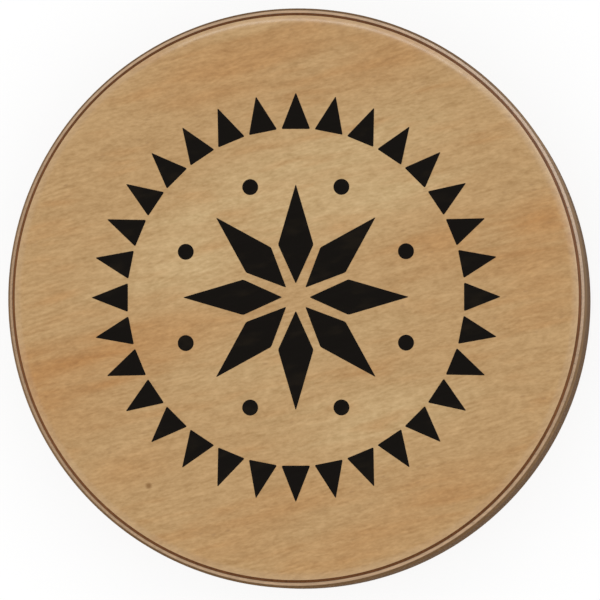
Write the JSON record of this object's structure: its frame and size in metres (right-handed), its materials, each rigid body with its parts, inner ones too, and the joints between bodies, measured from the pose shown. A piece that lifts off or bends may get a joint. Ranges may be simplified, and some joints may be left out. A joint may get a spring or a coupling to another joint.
{
  "type": "wooden shaker",
  "caption": "Flat round hand shaker: a laminated wooden ring closed by plywood plates with rounded edges, and loose steel shot sealed inside that rattles from plate to plate.",
  "frame": {"origin": "centre of the rear face, on which the disc lies flat", "axes": "+Z along the disc's axis, out of the front face; +X along the grain of the show veneers; +Y to the top of the front face"},
  "size_m": [0.095, 0.095, 0.0239],
  "materials": {
    "show_veneer": "clear satin lacquer over rotary-cut veneer",
    "dark_core": "sanded and oiled edge of a dark cross veneer",
    "inner_veneer": "sanded and oiled edge",
    "ring_ply_along_y": "sanded and oiled multiplex edge, grain along Y",
    "ring_ply_along_x": "sanded and oiled multiplex edge, grain along X",
    "shot_steel": "polished bearing balls"
  },
  "bodies": {
    "shell": {"rear_face_veneer": "show_veneer", "rear_core_veneer": "dark_core", "rear_inner_veneer": "inner_veneer", "front_face_veneer": "show_veneer", "front_core_veneer": "dark_core", "front_inner_veneer": "inner_veneer", "ring_ply_01": "ring_ply_along_y", "ring_ply_02": "ring_ply_along_x", "ring_ply_03": "ring_ply_along_y", "ring_ply_04": "ring_ply_along_x", "ring_ply_05": "ring_ply_along_y", "ring_ply_06": "ring_ply_along_x", "ring_ply_07": "ring_ply_along_y", "ring_ply_08": "ring_ply_along_x", "ring_ply_09": "ring_ply_along_y", "ring_ply_10": "ring_ply_along_x", "ring_ply_11": "ring_ply_along_y", "ring_ply_12": "ring_ply_along_x", "ring_ply_13": "ring_ply_along_y"},
    "shot_01": {"steel_shot_01": "shot_steel"},
    "shot_02": {"steel_shot_02": "shot_steel"},
    "shot_03": {"steel_shot_03": "shot_steel"},
    "shot_04": {"steel_shot_04": "shot_steel"},
    "shot_05": {"steel_shot_05": "shot_steel"},
    "shot_06": {"steel_shot_06": "shot_steel"},
    "shot_07": {"steel_shot_07": "shot_steel"},
    "shot_08": {"steel_shot_08": "shot_steel"},
    "shot_09": {"steel_shot_09": "shot_steel"},
    "shot_10": {"steel_shot_10": "shot_steel"},
    "shot_11": {"steel_shot_11": "shot_steel"},
    "shot_12": {"steel_shot_12": "shot_steel"},
    "shot_13": {"steel_shot_13": "shot_steel"},
    "shot_14": {"steel_shot_14": "shot_steel"},
    "shot_15": {"steel_shot_15": "shot_steel"},
    "shot_16": {"steel_shot_16": "shot_steel"},
    "shot_17": {"steel_shot_17": "shot_steel"},
    "shot_18": {"steel_shot_18": "shot_steel"},
    "shot_19": {"steel_shot_19": "shot_steel"},
    "shot_20": {"steel_shot_20": "shot_steel"},
    "shot_21": {"steel_shot_21": "shot_steel"},
    "shot_22": {"steel_shot_22": "shot_steel"},
    "shot_23": {"steel_shot_23": "shot_steel"},
    "shot_24": {"steel_shot_24": "shot_steel"},
    "shot_25": {"steel_shot_25": "shot_steel"},
    "shot_26": {"steel_shot_26": "shot_steel"},
    "shot_27": {"steel_shot_27": "shot_steel"},
    "shot_28": {"steel_shot_28": "shot_steel"},
    "shot_29": {"steel_shot_29": "shot_steel"},
    "shot_30": {"steel_shot_30": "shot_steel"},
    "shot_31": {"steel_shot_31": "shot_steel"},
    "shot_32": {"steel_shot_32": "shot_steel"},
    "shot_33": {"steel_shot_33": "shot_steel"},
    "shot_34": {"steel_shot_34": "shot_steel"},
    "shot_35": {"steel_shot_35": "shot_steel"},
    "shot_36": {"steel_shot_36": "shot_steel"}
  },
  "joints": [
    {"name": "shot_01_throw", "type": "slide", "parent": "shell", "child": "shot_01", "axis": [0, 0, 1], "range_m": [0, 0.0139]},
    {"name": "shot_02_throw", "type": "slide", "parent": "shell", "child": "shot_02", "axis": [0, 0, 1], "range_m": [0, 0.0139]},
    {"name": "shot_03_throw", "type": "slide", "parent": "shell", "child": "shot_03", "axis": [0, 0, 1], "range_m": [0, 0.0139]},
    {"name": "shot_04_throw", "type": "slide", "parent": "shell", "child": "shot_04", "axis": [0, 0, 1], "range_m": [0, 0.0139]},
    {"name": "shot_05_throw", "type": "slide", "parent": "shell", "child": "shot_05", "axis": [0, 0, 1], "range_m": [0, 0.0139]},
    {"name": "shot_06_throw", "type": "slide", "parent": "shell", "child": "shot_06", "axis": [0, 0, 1], "range_m": [0, 0.0139]},
    {"name": "shot_07_throw", "type": "slide", "parent": "shell", "child": "shot_07", "axis": [0, 0, 1], "range_m": [0, 0.0139]},
    {"name": "shot_08_throw", "type": "slide", "parent": "shell", "child": "shot_08", "axis": [0, 0, 1], "range_m": [0, 0.0139]},
    {"name": "shot_09_throw", "type": "slide", "parent": "shell", "child": "shot_09", "axis": [0, 0, 1], "range_m": [0, 0.0139]},
    {"name": "shot_10_throw", "type": "slide", "parent": "shell", "child": "shot_10", "axis": [0, 0, 1], "range_m": [0, 0.0139]},
    {"name": "shot_11_throw", "type": "slide", "parent": "shell", "child": "shot_11", "axis": [0, 0, 1], "range_m": [0, 0.0139]},
    {"name": "shot_12_throw", "type": "slide", "parent": "shell", "child": "shot_12", "axis": [0, 0, 1], "range_m": [0, 0.0139]},
    {"name": "shot_13_throw", "type": "slide", "parent": "shell", "child": "shot_13", "axis": [0, 0, 1], "range_m": [0, 0.0139]},
    {"name": "shot_14_throw", "type": "slide", "parent": "shell", "child": "shot_14", "axis": [0, 0, 1], "range_m": [0, 0.0139]},
    {"name": "shot_15_throw", "type": "slide", "parent": "shell", "child": "shot_15", "axis": [0, 0, 1], "range_m": [0, 0.0139]},
    {"name": "shot_16_throw", "type": "slide", "parent": "shell", "child": "shot_16", "axis": [0, 0, 1], "range_m": [0, 0.0139]},
    {"name": "shot_17_throw", "type": "slide", "parent": "shell", "child": "shot_17", "axis": [0, 0, 1], "range_m": [0, 0.0139]},
    {"name": "shot_18_throw", "type": "slide", "parent": "shell", "child": "shot_18", "axis": [0, 0, 1], "range_m": [0, 0.0139]},
    {"name": "shot_19_throw", "type": "slide", "parent": "shell", "child": "shot_19", "axis": [0, 0, 1], "range_m": [0, 0.0139]},
    {"name": "shot_20_throw", "type": "slide", "parent": "shell", "child": "shot_20", "axis": [0, 0, 1], "range_m": [0, 0.0139]},
    {"name": "shot_21_throw", "type": "slide", "parent": "shell", "child": "shot_21", "axis": [0, 0, 1], "range_m": [0, 0.0139]},
    {"name": "shot_22_throw", "type": "slide", "parent": "shell", "child": "shot_22", "axis": [0, 0, 1], "range_m": [0, 0.0139]},
    {"name": "shot_23_throw", "type": "slide", "parent": "shell", "child": "shot_23", "axis": [0, 0, 1], "range_m": [0, 0.0139]},
    {"name": "shot_24_throw", "type": "slide", "parent": "shell", "child": "shot_24", "axis": [0, 0, 1], "range_m": [0, 0.0139]},
    {"name": "shot_25_throw", "type": "slide", "parent": "shell", "child": "shot_25", "axis": [0, 0, 1], "range_m": [0, 0.0139]},
    {"name": "shot_26_throw", "type": "slide", "parent": "shell", "child": "shot_26", "axis": [0, 0, 1], "range_m": [0, 0.0139]},
    {"name": "shot_27_throw", "type": "slide", "parent": "shell", "child": "shot_27", "axis": [0, 0, 1], "range_m": [0, 0.0139]},
    {"name": "shot_28_throw", "type": "slide", "parent": "shell", "child": "shot_28", "axis": [0, 0, 1], "range_m": [0, 0.0139]},
    {"name": "shot_29_throw", "type": "slide", "parent": "shell", "child": "shot_29", "axis": [0, 0, 1], "range_m": [0, 0.0139]},
    {"name": "shot_30_throw", "type": "slide", "parent": "shell", "child": "shot_30", "axis": [0, 0, 1], "range_m": [0, 0.0139]},
    {"name": "shot_31_throw", "type": "slide", "parent": "shell", "child": "shot_31", "axis": [0, 0, 1], "range_m": [0, 0.0139]},
    {"name": "shot_32_throw", "type": "slide", "parent": "shell", "child": "shot_32", "axis": [0, 0, 1], "range_m": [0, 0.0139]},
    {"name": "shot_33_throw", "type": "slide", "parent": "shell", "child": "shot_33", "axis": [0, 0, 1], "range_m": [0, 0.0139]},
    {"name": "shot_34_throw", "type": "slide", "parent": "shell", "child": "shot_34", "axis": [0, 0, 1], "range_m": [0, 0.0139]},
    {"name": "shot_35_throw", "type": "slide", "parent": "shell", "child": "shot_35", "axis": [0, 0, 1], "range_m": [0, 0.0139]},
    {"name": "shot_36_throw", "type": "slide", "parent": "shell", "child": "shot_36", "axis": [0, 0, 1], "range_m": [0, 0.0139]}
  ]
}
